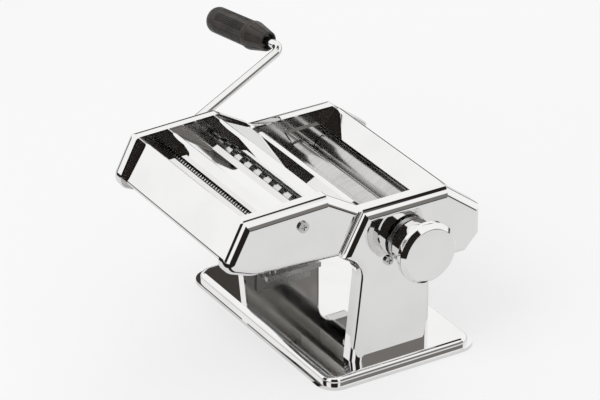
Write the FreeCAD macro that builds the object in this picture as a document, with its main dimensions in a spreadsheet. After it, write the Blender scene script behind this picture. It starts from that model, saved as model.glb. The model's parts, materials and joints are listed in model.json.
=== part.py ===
import FreeCAD, Part
import math
import os

# Hand-cranked pasta roller machine with its cutter attachment hung on the front.
# Millimetres. X runs along the rollers (+X is the knob side, -X the crank side),
# the front is -Y, Z is up, and zero is on the table under the middle of the base.

SIZES = [
    # Base tray
    ("base_margin", 25.7),
    ("base_width", 126.2),
    ("base_height", 8.0),
    ("base_corner", 12.0),
    ("base_roll", 4.0),
    ("base_wall", 1.5),
    ("lip_width", 3.5),
    ("lip_height", 2.6),
    # Side shells and the bearing plates inside them
    ("inner_half", 72.5),
    ("shell_depth", 14.5),
    ("shell_wall", 1.2),
    ("shell_roll", 8.0),
    ("shell_corner", 4.5),
    ("head_top", 131.0),
    ("head_rear_top", 46.5),
    ("head_rear", 75.5),
    ("head_rear_high", 109.0),
    ("head_rear_low", 86.0),
    ("head_under_rear", 63.0),
    ("head_under", 73.0),
    ("head_front_low", 97.0),
    ("leg_front_top", -27.0),
    ("leg_front_bend", 86.0),
    ("leg_front_foot", -35.0),
    ("leg_rear", 33.0),
    ("leg_curve", 16.0),
    ("bearing_thick", 2.5),
    ("seat_gap", 0.25),
    ("tie_rear_y", 54.0),
    ("tie_rear_z", 108.0),
    ("tie_front_y", -18.0),
    ("tie_front_z", 106.0),
    ("shell_post_y", -6.3),
    ("shell_post_z", 87.5),
    # Slanted front edge of the head, which is also the way that the cutter unit lifts off
    ("guide_tilt", 28.0),
    ("guide_y", -34.5),
    ("guide_z", 115.0),
    # Rollers, their gears and the carriage that sets their gap
    ("roller_radius", 11.5),
    ("roller_z", 99.0),
    ("front_roller_y", 12.5),
    ("widest_gap", 2.4),
    ("gap_travel", 2.05),
    ("end_play", 0.3),
    ("journal_radius", 5.0),
    ("socket_journal", 6.5),
    ("socket_radius", 3.6),
    ("socket_depth", 29.0),
    ("socket_proud", 1.2),
    ("slot_width", 3.0),
    ("slot_depth", 4.5),
    ("fit_gap", 0.05),
    ("bush_wall", 2.0),
    ("bush_length", 4.0),
    ("gear_teeth", 12),
    ("gear_addendum", 0.4),
    ("gear_dedendum", 2.9),
    ("gear_width", 4.4),
    ("block_thick", 3.9),
    ("block_half", 12.0),
    ("block_below", 20.5),
    ("block_above", 12.0),
    ("yoke_ahead", 4.5),
    ("yoke_below", 15.5),
    ("yoke_radius", 2.5),
    ("guide_strip", 3.0),
    ("guide_margin", 2.0),
    ("slide_gap", 0.3),
    # Regulator: cam, index plate and sprung pull knob on one short shaft
    ("shaft_radius", 3.0),
    ("cam_low", 6.0),
    ("cam_turn", 270.0),
    ("cam_width", 3.4),
    ("cam_gap", 0.15),
    ("lug_thick", 3.4),
    ("lug_height", 14.0),
    ("nose_length", 4.0),
    ("nose_radius", 6.5),
    ("nose_flange", 2.0),
    ("index_thick", 2.0),
    ("index_radius", 17.5),
    ("index_circle", 13.0),
    ("index_hole", 1.7),
    ("index_positions", 7),
    ("pin_radius", 1.3),
    ("knob_travel_in", 2.0),
    ("drum_radius", 18.5),
    ("drum_wall", 1.5),
    ("drum_length", 13.4),
    ("web_thick", 2.5),
    ("web_depth", 7.7),
    ("hub_radius", 5.5),
    ("hub_length", 3.2),
    ("cap_radius", 24.0),
    ("cap_rim", 4.0),
    ("cap_bevel", 3.5),
    ("cap_dome", 2.0),
    ("cap_crown", 80.0),
    ("cap_edge", 1.0),
    ("cap_back", 2.0),
    ("cap_seat", 1.0),
    ("cap_wall", 2.5),
    ("spring_length", 7.7),
    ("spring_wire", 0.5),
    ("spring_radius", 4.7),
    ("spring_turns", 4),
    ("washer_thick", 1.2),
    ("washer_radius", 6.5),
    ("retainer_head", 4.5),
    ("retainer_edge", 0.6),
    # Hopper and covers
    ("sheet", 1.2),
    ("cover_bend", 1.5),
    ("hopper_top", 128.5),
    ("hopper_ridge", 4.2),
    ("hopper_ridge_drop", 1.8),
    ("hopper_ridge_y", 53.0),
    ("hopper_rear_lap", -1.0),
    ("hopper_rear_gap", 5.2),
    ("hopper_front_lap", 11.0),
    ("hopper_front_drop", 0.7),
    ("hopper_front_y", -21.5),
    ("rear_cover_y", 64.0),
    ("rear_cover_z", 100.0),
    ("rear_return_y", 58.0),
    ("rear_return_z", 84.0),
    ("front_cover_drop", 1.0),
    ("front_cover_inset", 1.4),
    ("front_cover_low", 100.0),
    ("front_return_y", -36.0),
    ("front_return_z", 95.5),
    ("cheek_thick", 2.5),
    ("cheek_rise", 9.0),
    ("cheek_front_lap", 10.0),
    ("cheek_rear_lap", 5.9),
    ("cheek_shoulder", 5.0),
    ("cheek_shoulder_lap", 2.0),
    ("cheek_gap", 0.5),
    ("scraper_thick", 1.0),
    ("scraper_height", 9.0),
    ("scraper_set", 3.0),
    ("scraper_gap", 0.6),
    ("tie_radius", 2.5),
    ("nut_width", 8.0),
    ("nut_height", 3.0),
    # Feet brackets and small screws
    ("foot_reach", 18.0),
    ("foot_rise", 18.0),
    ("foot_thick", 2.0),
    ("foot_half", 24.0),
    ("screw_radius", 2.0),
    ("screw_head", 3.6),
    ("screw_head_height", 1.8),
    ("screw_spread", 15.0),
    ("recess_length", 4.6),
    ("recess_width", 1.1),
    ("recess_depth", 1.0),
    # Cutter unit
    ("cutter_depth", 13.5),
    ("cutter_gap", 1.2),
    ("cutter_plate", 2.0),
    ("cutter_top_front", 148.5),
    ("cutter_top_rear", 150.5),
    ("cutter_front_top", -124.5),
    ("cutter_front_low", -143.0),
    ("cutter_low_front", 112.5),
    ("cutter_under", 103.0),
    ("cutter_under_front", -118.0),
    ("cutter_rear_top", -55.0),
    ("cutter_rear_high", 133.5),
    ("cutter_rear_low", 98.5),
    ("cutter_chin", 9.0),
    ("cutter_belly", 25.0),
    ("cutter_tie_middle_y", -84.3),
    ("cutter_tie_middle_z", 113.0),
    ("cutter_tie_front_y", -125.0),
    ("cutter_tie_front_z", 120.0),
    ("front_panel_top_y", -119.8),
    ("front_panel_top_z", 145.8),
    ("front_panel_low_y", -136.5),
    ("front_panel_low_z", 116.5),
    ("front_panel_return_y", -131.0),
    ("front_panel_return_z", 110.0),
    ("thin_slot_front", 3.0),
    ("thin_slot_rear", 2.4),
    ("thin_edge_rise", 3.0),
    ("thin_guide_rise", 2.5),
    ("middle_ridge_y", -96.0),
    ("middle_ridge_z", 147.2),
    ("wide_slot_front", 5.4),
    ("wide_slot_rear", 4.5),
    ("wide_edge_rise", 4.0),
    ("wide_guide_rise", 5.0),
    ("rear_ridge_y", -56.5),
    ("rear_ridge_z", 148.6),
    ("rear_edge_z", 134.5),
    ("rear_edge_inset", 5.0),
    ("cutter_z", 126.0),
    ("thin_nip", -103.5),
    ("wide_nip", -65.0),
    ("disc_radius", 9.5),
    ("groove_radius", 6.8),
    ("mesh_gap", 0.5),
    ("thin_pitch", 3.2),
    ("thin_disc", 1.0),
    ("wide_pitch", 14.0),
    ("wide_disc", 6.4),
    ("cutter_journal", 5.5),
    ("cutter_bush_wall", 1.0),
    ("cutter_bush_stand", 2.0),
    ("journal_proud", 1.0),
    ("cutter_gear_teeth", 14),
    ("cutter_gear_addendum", 0.9),
    ("cutter_gear_dedendum", 1.5),
    ("comb_thick", 1.0),
    ("comb_gap", 0.4),
    ("comb_height", 8.0),
    ("post_radius", 2.6),
    ("near_post_y", -77.7),
    ("near_post_z", 134.3),
    ("far_post_y", -84.3),
    ("far_post_z", 137.5),
    ("cutter_screw_head", 4.3),
    # Hooks that hang the cutter unit in the keepers of the head
    ("hook_thick", 2.0),
    ("hook_lip", 3.0),
    ("hook_depth", 10.0),
    ("hook_reach", 10.0),
    ("hook_grip", 8.0),
    ("hook_low", -14.7),
    ("hook_high", 10.0),
    ("keeper_wall", 2.0),
    ("keeper_lip", 3.2),
    ("keeper_front", 1.0),
    ("keeper_high", 13.0),
    # Crank and grip
    ("rod_radius", 3.5),
    ("crank_insert", 27.0),
    ("crank_stand_off", 13.5),
    ("crank_bend", 9.0),
    ("crank_arm", 112.5),
    ("crank_lean", 11.4),
    ("crank_rise", 19.6),
    ("drive_pin_radius", 1.2),
    ("drive_pin_half", 5.2),
    ("grip_lean", 9.5),
    ("grip_stand_off", 16.5),
    ("grip_length", 67.5),
    ("grip_near", 7.8),
    ("grip_recess", 6.3),
    ("grip_recess_depth", 7.0),
    ("grip_collar", 11.5),
    ("grip_collar_at", 17.0),
    ("grip_collar_width", 2.0),
    ("grip_body", 10.7),
    ("grip_taper", 0.2),
    ("grip_end_round", 7.0),
    ("grip_end_wall", 8.0),
    ("grip_edge", 1.0),
    ("flute_groups", 6),
    ("flutes_in_group", 5),
    ("flute_step", 7.5),
    ("flute_turn", -5.0),
    ("flute_radius", 0.55),
    ("flute_offset", 0.1),
    ("flute_start", 5.0),
    ("flute_tail", 12.5),
    ("cone_flute_half", 17.0),
    ("cone_flute_end", 1.5),
    ("ring_thick", 2.0),
    ("ring_step", 0.8),
]

doc = FreeCAD.newDocument("pasta_roller_machine")
sheet = doc.addObject("Spreadsheet::Sheet", "Sizes")
for row, (alias, number) in enumerate(SIZES, start=1):
    sheet.set("A%d" % row, alias)
    sheet.set("B%d" % row, str(number))
    sheet.setAlias("B%d" % row, alias)
doc.recompute()


def size(name):
    return float(sheet.get(name))


def count(name):
    return int(round(size(name)))


KNOB_SIDE = 1
CRANK_SIDE = -1
TOUCH = 1e-4
X_AXIS = FreeCAD.Vector(1, 0, 0)
Y_AXIS = FreeCAD.Vector(0, 1, 0)
finished = []


# Outlines

def flat(u, v):
    return FreeCAD.Vector(u, v, 0)


def circle(u, v, radius):
    return Part.Circle(flat(u, v), FreeCAD.Vector(0, 0, 1), radius)


def rounded(corners):
    """Closed outline through corners (u, v, radius), each corner rounded by its own radius."""
    starts = []
    ends = []
    arcs = []
    for index, (u, v, radius) in enumerate(corners):
        here = flat(u, v)
        before = flat(*corners[index - 1][:2]) - here
        after = flat(*corners[(index + 1) % len(corners)][:2]) - here
        before.normalize()
        after.normalize()
        if radius == 0:
            starts.append(here)
            ends.append(here)
            continue
        half = before.getAngle(after) / 2
        reach = radius / math.tan(half)
        inward = before + after
        inward.normalize()
        centre = here + inward * (radius / math.sin(half))
        starts.append(here + before * reach)
        ends.append(here + after * reach)
        arcs.append(Part.ArcOfCircle(starts[-1], centre - inward * radius, ends[-1]))
    lines = []
    for index, end in enumerate(ends):
        following = starts[(index + 1) % len(starts)]
        lines.append(Part.LineSegment(end, following))
    return lines + arcs


def polygon(points):
    return rounded([(u, v, 0) for u, v in points])


def rectangle(low_u, low_v, high_u, high_v, radius=0):
    pairs = [(low_u, low_v), (high_u, low_v), (high_u, high_v), (low_u, high_v)]
    return rounded([(u, v, radius) for u, v in pairs])


def slot(u, v, radius, travel):
    """Round-ended slot whose first centre is (u, v) and which runs on by travel along u."""
    left = Part.ArcOfCircle(flat(u, v + radius), flat(u - radius, v), flat(u, v - radius))
    right = Part.ArcOfCircle(flat(u + travel, v - radius), flat(u + travel + radius, v),
                             flat(u + travel, v + radius))
    low = Part.LineSegment(flat(u, v - radius), flat(u + travel, v - radius))
    high = Part.LineSegment(flat(u + travel, v + radius), flat(u, v + radius))
    return [left, low, right, high]


def turn_of(before, here, after):
    return (here[0] - before[0]) * (after[1] - here[1]) - (here[1] - before[1]) * (after[0] - here[0])


def shifted_corner(before, here, after, distance):
    """Where the two lines that meet at here cross, once both are moved to their left by distance."""
    first = flat(here[0] - before[0], here[1] - before[1])
    second = flat(after[0] - here[0], after[1] - here[1])
    first.normalize()
    second.normalize()
    normal_sum = flat(-first.y - second.y, first.x + second.x)
    scale = distance / (1 + first.dot(second))
    return here[0] + normal_sum.x * scale, here[1] + normal_sum.y * scale


def inset(corners, distance):
    """The outline drawn in by distance. Corners run anticlockwise; round ones keep their centres."""
    result = []
    for index, here in enumerate(corners):
        before = corners[index - 1]
        after = corners[(index + 1) % len(corners)]
        u, v = shifted_corner(before, here, after, distance)
        outward = turn_of(before, here, after) > 0
        change = -distance if outward else distance
        radius = here[2] + change if here[2] else 0
        result.append((u, v, radius))
    return result


def folded(points, thickness, bend):
    """Outline of a folded sheet. Its right-hand face follows the points, and each fold is rounded."""
    right = []
    left = []
    for index, here in enumerate(points):
        before = points[max(index - 1, 0)]
        after = points[min(index + 1, len(points) - 1)]
        if index in (0, len(points) - 1):
            along = flat(after[0] - before[0], after[1] - before[1])
            along.normalize()
            right.append((here[0], here[1], 0))
            left.append((here[0] - along.y * thickness, here[1] + along.x * thickness, 0))
            continue
        to_left = turn_of(before, here, after) > 0
        right.append((here[0], here[1], bend + thickness if to_left else bend))
        u, v = shifted_corner(before, here, after, thickness)
        left.append((u, v, bend if to_left else bend + thickness))
    return rounded(right + left[::-1])


# Bodies and features

def finish(piece, label):
    piece.Label = label
    finished.append(piece)
    return piece


def new_body(label, grouped=False):
    """A body that is a piece of its own or, when grouped, one member of a group."""
    body = doc.addObject("PartDesign::Body", label)
    return body if grouped else finish(body, label)


def sketch_on(body, role, curves):
    sketch = body.newObject("Sketcher::SketchObject", "Sketch")
    plane = next(feature for feature in body.Origin.OriginFeatures if feature.Role == role)
    sketch.AttachmentSupport = (plane, [""])
    sketch.MapMode = "FlatFace"
    for curve in curves:
        sketch.addGeometry(curve, False)
    return sketch


def pad(body, role, curves, length, reverse=False):
    feature = body.newObject("PartDesign::Pad", "Pad")
    feature.Profile = sketch_on(body, role, curves)
    feature.setExpression("Length", length)
    feature.Reversed = reverse
    body.Tip = feature
    doc.recompute()
    return feature


def pocket(body, role, curves, length, reverse=False, both_ways=False):
    before = body.Shape.Volume
    feature = body.newObject("PartDesign::Pocket", "Pocket")
    feature.Profile = sketch_on(body, role, curves)
    feature.setExpression("Length", length)
    feature.Reversed = reverse
    if both_ways:
        feature.SideType = "Symmetric"
    body.Tip = feature
    doc.recompute()
    if body.Shape.Volume > before - TOUCH:
        raise ValueError("a pocket of " + body.Label + " cuts nothing")
    return feature


def fillet(body, radius, wanted):
    """Rounds the edges of the body that wanted() picks."""
    names = []
    for number, edge in enumerate(body.Shape.Edges, start=1):
        if wanted(edge):
            names.append("Edge%d" % number)
    base = body.Tip
    feature = body.newObject("PartDesign::Fillet", "Fillet")
    feature.Base = (base, names)
    feature.setExpression("Radius", radius)
    body.Tip = feature
    doc.recompute()
    if "Invalid" in feature.State:
        raise ValueError("a fillet of " + body.Label + " failed on " + ", ".join(names))
    return feature


def place(piece, x=0.0, y=0.0, z=0.0, rotation=None):
    piece.Placement = FreeCAD.Placement(FreeCAD.Vector(x, y, z), rotation or FreeCAD.Rotation())
    return piece


def prism(label, curves, start, length, grouped=False):
    """A piece of one section, drawn in Y and Z, that runs along X from start."""
    body = new_body(label, grouped)
    pad(body, "YZ_Plane", curves, length)
    return place(body, x=start)


def turned(label, profile, y=0.0, z=0.0, grouped=False):
    """A piece turned about X. The profile holds (x, radius, corner radius)."""
    body = new_body(label, grouped)
    feature = body.newObject("PartDesign::Revolution", "Revolution")
    feature.Profile = sketch_on(body, "XY_Plane", rounded(profile))
    feature.ReferenceAxis = (feature.Profile[0], ["H_Axis"])
    feature.Angle = 360
    body.Tip = feature
    doc.recompute()
    return place(body, y=y, z=z)


def sharp(points):
    return [(u, v, 0) for u, v in points]


def rod(x, y, z, radius, length):
    """Part cylinder along +X from (x, y, z); radius and length are expressions."""
    piece = doc.addObject("Part::Cylinder", "Rod")
    piece.setExpression("Radius", radius)
    piece.setExpression("Height", length)
    return place(piece, x, y, z, FreeCAD.Rotation(Y_AXIS, 90))


def bored(outer, inner):
    piece = doc.addObject("Part::Cut", "Bored")
    piece.Base = outer
    piece.Tool = inner
    return piece


def joined(pieces):
    piece = doc.addObject("Part::MultiFuse", "Joined")
    piece.Shapes = pieces
    return piece


def group(label, members):
    piece = finish(doc.addObject("Part::Compound", label), label)
    piece.Links = members
    return piece


# Base tray

half_length = size("inner_half") + size("base_margin")
half_width = size("base_width") / 2
lip = size("lip_width")
base_corner = size("base_corner")
foot_middle = size("inner_half") - size("foot_reach") / 2
screw_spots = [(side * foot_middle, along * size("screw_spread")) for side in (-1, 1) for along in (-1, 1)]
hole_gap = 2 * size("fit_gap")

base_plate = new_body("base_plate")
lip_outline = rectangle(-half_length - lip, -half_width - lip, half_length + lip, half_width + lip,
                        base_corner + lip)
pad(base_plate, "XY_Plane", lip_outline, "Sizes.lip_height")
upper = [(u, v, base_corner) for u, v in
         [(-half_length, -half_width), (half_length, -half_width), (half_length, half_width),
          (-half_length, half_width)]]
pad(base_plate, "XY_Plane", rounded(upper), "Sizes.base_height")
fillet(base_plate, "Sizes.base_roll", lambda edge: edge.BoundBox.ZMin > size("base_height") - TOUCH)
pocket(base_plate, "XY_Plane", rounded(inset(upper, size("base_wall"))),
       "Sizes.base_height - Sizes.base_wall", True)
pocket(base_plate, "XY_Plane", [circle(x, y, size("screw_radius") + hole_gap) for x, y in screw_spots],
       "2 * Sizes.base_height", True)

# Side shells: pressed trays with a rolled edge, open towards the rollers

tilt = math.radians(size("guide_tilt"))


def front_edge(z, gap=0.0):
    """Y of the slanted front edge at a height, or of a line that lies gap in front of it."""
    return size("guide_y") + (z - size("guide_z")) * math.tan(tilt) - gap / math.cos(tilt)


corner = size("shell_corner")
head_top = size("head_top")
base_top = size("base_height")
shell_corners = [
    (size("leg_front_foot"), base_top, 0),
    (size("leg_rear"), base_top, 0),
    (size("leg_rear"), size("head_under"), size("leg_curve")),
    (size("head_under_rear"), size("head_under"), corner),
    (size("head_rear"), size("head_rear_low"), corner),
    (size("head_rear"), size("head_rear_high"), corner),
    (size("head_rear_top"), head_top, corner),
    (front_edge(head_top), head_top, corner),
    (front_edge(size("head_front_low")), size("head_front_low"), corner),
    (size("leg_front_top"), size("leg_front_bend"), size("leg_curve")),
]


def mitred(corners, roll):
    """The outline with its corners that are tighter than the roll left sharp, so that the roll is mitred."""
    return [(u, v, radius if radius > roll else 0) for u, v, radius in corners]


def rolled_block(corners, start, length, roll, side, rolled):
    """A solid that stands outwards from start, with its outer edge rolled where rolled() says so."""
    body = doc.addObject("PartDesign::Body", "RolledBlock")
    pad(body, "YZ_Plane", rounded(corners), length, side == CRANK_SIDE)
    box = body.Shape.BoundBox
    outer = box.XMax if side == KNOB_SIDE else box.XMin

    def outer_edge(edge):
        middle = edge.BoundBox
        return abs(middle.XMin - outer) < TOUCH and abs(middle.XMax - outer) < TOUCH and rolled(middle)

    fillet(body, roll, outer_edge)
    return place(body, x=start)


def cut_to_outline(block, corners, start, length, side):
    """The block cut down to an outline whose corners are rounded."""
    outline = doc.addObject("PartDesign::Body", "Outline")
    pad(outline, "YZ_Plane", rounded(corners), length, side == CRANK_SIDE)
    place(outline, x=start)
    piece = doc.addObject("Part::Common", "Trimmed")
    piece.Base = block
    piece.Tool = outline
    return piece


def pressed_tray(label, corners, inner_half, depth, side, holes, rolled):
    """A sheet tray standing outwards from inner_half, its outer edge rolled, with holes (y, z, radius)."""
    roll = size("shell_roll")
    wall = size("shell_wall")
    start = side * inner_half
    outside = rolled_block(mitred(corners, roll), start, "Sizes." + depth, "Sizes.shell_roll", side, rolled)
    pocket(outside, "YZ_Plane", [circle(y, z, radius) for y, z, radius in holes], "2 * Sizes." + depth,
           side == KNOB_SIDE)
    inner_corners = inset(corners, wall)
    cavity = rolled_block(mitred(inner_corners, roll - wall), start, "Sizes.%s - Sizes.shell_wall" % depth,
                          "Sizes.shell_roll - Sizes.shell_wall", side, rolled)
    outer_wall = cut_to_outline(outside, corners, start, "Sizes." + depth, side)
    inner_wall = cut_to_outline(cavity, inner_corners, start, "Sizes." + depth, side)
    return finish(bored(outer_wall, inner_wall), label)


def above_foot(box):
    return box.ZMax > base_top + size("shell_wall") + TOUCH


inner_half = size("inner_half")
shell_outer = inner_half + size("shell_depth")
shell_inside = shell_outer - size("shell_wall")
roller_radius = size("roller_radius")
roller_z = size("roller_z")
front_y = size("front_roller_y")
rear_y = front_y + 2 * roller_radius + size("widest_gap")
fit = size("fit_gap")
play = size("end_play")
socket_hole = size("socket_journal") + play
nose_hole = size("nose_radius") + fit

shell_post = (size("shell_post_y"), size("shell_post_z"))
screw_hole = size("screw_radius") + hole_gap

pressed_tray("knob_side_shell", shell_corners, inner_half, "shell_depth", KNOB_SIDE,
             [(front_y, roller_z, nose_hole), shell_post + (screw_hole,)], above_foot)
pressed_tray("crank_side_shell", shell_corners, inner_half, "shell_depth", CRANK_SIDE,
             [(rear_y, roller_z, socket_hole), shell_post + (screw_hole,)], above_foot)

# Bearing plates: they fill the open side of the shells and carry the rollers

tie_spots = [(size("tie_rear_y"), size("tie_rear_z")), (size("tie_front_y"), size("tie_front_z"))]
plate_corners = inset(shell_corners, size("shell_wall") + size("seat_gap"))
travel = size("gap_travel")
yoke_spot = (front_y - size("yoke_ahead"), roller_z - size("yoke_below"))
bearing = size("bearing_thick")
bush_outer = size("journal_radius") + fit + size("bush_wall")
socket_bush_outer = size("socket_journal") + fit + size("bush_wall")


def bearing_plate(label, side, bush_radius):
    curves = rounded(plate_corners)
    curves += slot(front_y, roller_z, size("journal_radius") + size("slide_gap"), travel)
    curves += slot(*yoke_spot, size("yoke_radius") + size("slide_gap"), travel)
    curves.append(circle(rear_y, roller_z, bush_radius + fit))
    curves += [circle(y, z, size("tie_radius") + fit) for y, z in tie_spots]
    start = inner_half if side == KNOB_SIDE else -inner_half - bearing
    return prism(label, curves, start, "Sizes.bearing_thick")


bearing_plate("knob_side_bearing_plate", KNOB_SIDE, bush_outer)
bearing_plate("crank_side_bearing_plate", CRANK_SIDE, socket_bush_outer)

# Feet: angle brackets that hold the bearing plates to the base

brackets = []
for side in (KNOB_SIDE, CRANK_SIDE):
    wall_x = side * inner_half
    thick = side * size("foot_thick")
    toe_x = wall_x - side * size("foot_reach")
    foot_top = base_top + size("foot_rise")
    toe_top = base_top + size("foot_thick")
    profile = [(wall_x, base_top), (wall_x, foot_top), (wall_x - thick, foot_top), (wall_x - thick, toe_top),
               (toe_x, toe_top), (toe_x, base_top)]
    bracket = new_body("FootBracket", grouped=True)
    pad(bracket, "XZ_Plane", polygon(profile), "2 * Sizes.foot_half")
    holes = [circle(x, y - size("foot_half"), size("screw_radius") + hole_gap)
             for x, y in screw_spots if x * side > 0]
    pocket(bracket, "XY_Plane", holes, "2 * (Sizes.base_height + Sizes.foot_thick)", True)
    brackets.append(place(bracket, y=size("foot_half")))
group("foot_brackets", brackets)

base_screws = []
for x, y in screw_spots:
    head = doc.addObject("Part::Cylinder", "ScrewHead")
    head.setExpression("Radius", "Sizes.screw_head")
    head.setExpression("Height", "Sizes.screw_head_height")
    place(head, x, y, base_top + size("foot_thick"))
    shank = doc.addObject("Part::Cylinder", "ScrewShank")
    shank.setExpression("Radius", "Sizes.screw_radius")
    shank.setExpression("Height", "Sizes.base_wall + Sizes.foot_thick + Sizes.screw_head_height")
    place(shank, x, y, base_top - size("base_wall"))
    base_screws.append(joined([head, shank]))
group("base_screws", base_screws)

# Tie rods between the bearing plates, with a nut on each end

rod_end = inner_half + bearing + size("nut_height")
rod_length = "2 * (Sizes.inner_half + Sizes.bearing_thick + Sizes.nut_height)"
group("tie_rods", [rod(-rod_end, y, z, "Sizes.tie_radius", rod_length) for y, z in tie_spots])


def hex_nut(x, y, z):
    nut = doc.addObject("Part::Prism", "Nut")
    nut.Polygon = 6
    nut.setExpression("Circumradius", "Sizes.nut_width / 2 / cos(30 deg)")
    nut.setExpression("Height", "Sizes.nut_height")
    place(nut, x, y, z, FreeCAD.Rotation(Y_AXIS, 90))
    return bored(nut, rod(x, y, z, "Sizes.tie_radius + Sizes.fit_gap", "Sizes.nut_height"))


def nuts_for(spots, plate_outer):
    starts = (plate_outer, -plate_outer - size("nut_height"))
    return [hex_nut(x, y, z) for y, z in spots for x in starts]


group("tie_nuts", nuts_for(tie_spots, inner_half + bearing))

# Posts between the bearing plates and the shells, and the cross-head screws on them

post_length = "Sizes.shell_depth - Sizes.bearing_thick - Sizes.shell_wall"
group("shell_posts", [rod(inner_half + bearing, *shell_post, "Sizes.post_radius", post_length),
                      rod(-shell_inside, *shell_post, "Sizes.post_radius", post_length)])


def cross_head_screw(x, y, z, side, head_size):
    """A screw whose head stands on a plate at x, with a cross recess and a shank through the plate."""
    body = doc.addObject("Part::Cut", "CrossScrew")
    head_start = x if side == KNOB_SIDE else x - size("screw_head_height")
    shank_start = x - size("shell_wall") if side == KNOB_SIDE else x
    head = rod(head_start, y, z, head_size, "Sizes.screw_head_height")
    shank = rod(shank_start, y, z, "Sizes.screw_radius", "Sizes.shell_wall")
    body.Base = joined([head, shank])
    bars = []
    for width, height in (("recess_length", "recess_width"), ("recess_width", "recess_length")):
        bar = doc.addObject("Part::Box", "Recess")
        bar.setExpression("Length", "Sizes.recess_depth")
        bar.setExpression("Width", "Sizes." + width)
        bar.setExpression("Height", "Sizes." + height)
        outer_face = x + side * size("screw_head_height")
        bar_start = outer_face - size("recess_depth") if side == KNOB_SIDE else outer_face
        bars.append(place(bar, bar_start, y - size(width) / 2, z - size(height) / 2))
    body.Tool = joined(bars)
    return body


group("shell_screws", [cross_head_screw(shell_outer, *shell_post, KNOB_SIDE, "Sizes.screw_head"),
                       cross_head_screw(-shell_outer, *shell_post, CRANK_SIDE, "Sizes.screw_head")])

# Rear roller: driven, with a socket for the crank in its crank-side journal

roller_half = inner_half - play
near_journal_end = inner_half + bearing + size("bush_length")
socket_end = -shell_outer - size("socket_proud")
socket_floor = socket_end + size("socket_depth")


def socket_roller(label, profile, y, z, mouth):
    """A roller turned from a profile, with the cross slot for the crank's pin in the mouth of its socket."""
    body = turned(label, profile, y, z)
    half_slot = size("slot_width") / 2
    pocket(body, "XY_Plane", rectangle(mouth - play, -half_slot, mouth + size("slot_depth"), half_slot),
           "4 * Sizes.socket_journal", both_ways=True)
    return body


socket_roller("rear_roller", sharp([
    (socket_floor, 0), (socket_floor, size("socket_radius")), (socket_end, size("socket_radius")),
    (socket_end, size("socket_journal")), (-roller_half, size("socket_journal")),
    (-roller_half, roller_radius), (roller_half, roller_radius), (roller_half, size("journal_radius")),
    (near_journal_end, size("journal_radius")), (near_journal_end, 0)]), rear_y, roller_z, socket_end)



def bush(x, y, z, journal, wall, length):
    """A plain bush along +X whose bore runs on the named journal."""
    bore = "Sizes.%s + Sizes.fit_gap" % journal
    return bored(rod(x, y, z, bore + " + Sizes." + wall, length), rod(x, y, z, bore, length))


knob_side_bush = bush(inner_half, rear_y, roller_z, "journal_radius", "bush_wall",
                      "Sizes.bearing_thick + Sizes.bush_length - Sizes.end_play")
crank_side_bush = bush(-inner_half - bearing, rear_y, roller_z, "socket_journal", "bush_wall",
                       "Sizes.bearing_thick")
group("roller_bushes", [knob_side_bush, crank_side_bush])

# Front roller: carried by two sliding blocks, so that its gap to the rear roller can be set

block_start = inner_half + bearing + size("slide_gap") / 2
block_outer = block_start + size("block_thick")
gear_start = block_outer + play
gear_end = gear_start + size("gear_width")
turned("front_roller", sharp([
    (-gear_end, 0), (-gear_end, size("journal_radius")), (-roller_half, size("journal_radius")),
    (-roller_half, roller_radius), (roller_half, roller_radius), (roller_half, size("journal_radius")),
    (block_outer, size("journal_radius")), (block_outer, 0)]), front_y, roller_z)


block_low = roller_z - size("block_below")
block_high = roller_z + size("block_above")


def block_curves():
    curves = rectangle(front_y - size("block_half"), block_low, front_y + size("block_half"), block_high)
    curves.append(circle(front_y, roller_z, size("journal_radius") + fit))
    curves.append(circle(*yoke_spot, size("yoke_radius") + fit))
    return curves


cam_start = block_outer + play
lug_face = front_y + size("cam_low") + size("cam_gap")
near_block = prism("knob_side_bearing_block", block_curves(), block_start, "Sizes.block_thick")
half_lug = size("lug_height") / 2
lug_outline = rectangle(lug_face, roller_z - half_lug, lug_face + size("lug_thick"), roller_z + half_lug)
pad(near_block, "YZ_Plane", lug_outline, "Sizes.block_thick + Sizes.end_play + Sizes.cam_width")
prism("crank_side_bearing_block", block_curves(), -block_outer, "Sizes.block_thick")
group("carriage_yoke", [rod(-block_outer, *yoke_spot, "Sizes.yoke_radius",
                            "2 * (Sizes.inner_half + Sizes.bearing_thick + Sizes.slide_gap / 2"
                            " + Sizes.block_thick)")])

strip_front = front_y - size("block_half") - size("guide_margin")
guide_strips = []
for side in (KNOB_SIDE, CRANK_SIDE):
    for strip_z in (block_high + size("slide_gap"), block_low - size("slide_gap") - size("guide_strip")):
        strip = doc.addObject("Part::Box", "GuideStrip")
        strip.setExpression("Length", "Sizes.slide_gap / 2 + Sizes.block_thick")
        strip.setExpression("Width", "2 * Sizes.block_half + Sizes.gap_travel + 2 * Sizes.guide_margin")
        strip.setExpression("Height", "Sizes.guide_strip")
        start = inner_half + bearing if side == KNOB_SIDE else -block_outer
        guide_strips.append(place(strip, start, strip_front, strip_z))
group("block_guides", guide_strips)


# Shares of one tooth's turn that its root and its tip take up on each side of its middle
ROOT_SHARE = 0.27
TIP_SHARE = 0.1


def gear(label, teeth, tip, root, start, width, y, z, phase, bore):
    """Spur gear with straight-sided teeth; phase turns it by that share of one tooth."""
    pitch = 2 * math.pi / teeth
    corners = []
    for tooth in range(teeth):
        middle = (tooth + phase) * pitch
        for radius, share in ((root, -ROOT_SHARE), (tip, -TIP_SHARE), (tip, TIP_SHARE), (root, ROOT_SHARE)):
            angle = middle + share * pitch
            corners.append((radius * math.cos(angle), radius * math.sin(angle)))
    body = prism(label, polygon(corners) + [circle(0, 0, bore)], start, width)
    return place(body, start, y, z)


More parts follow.
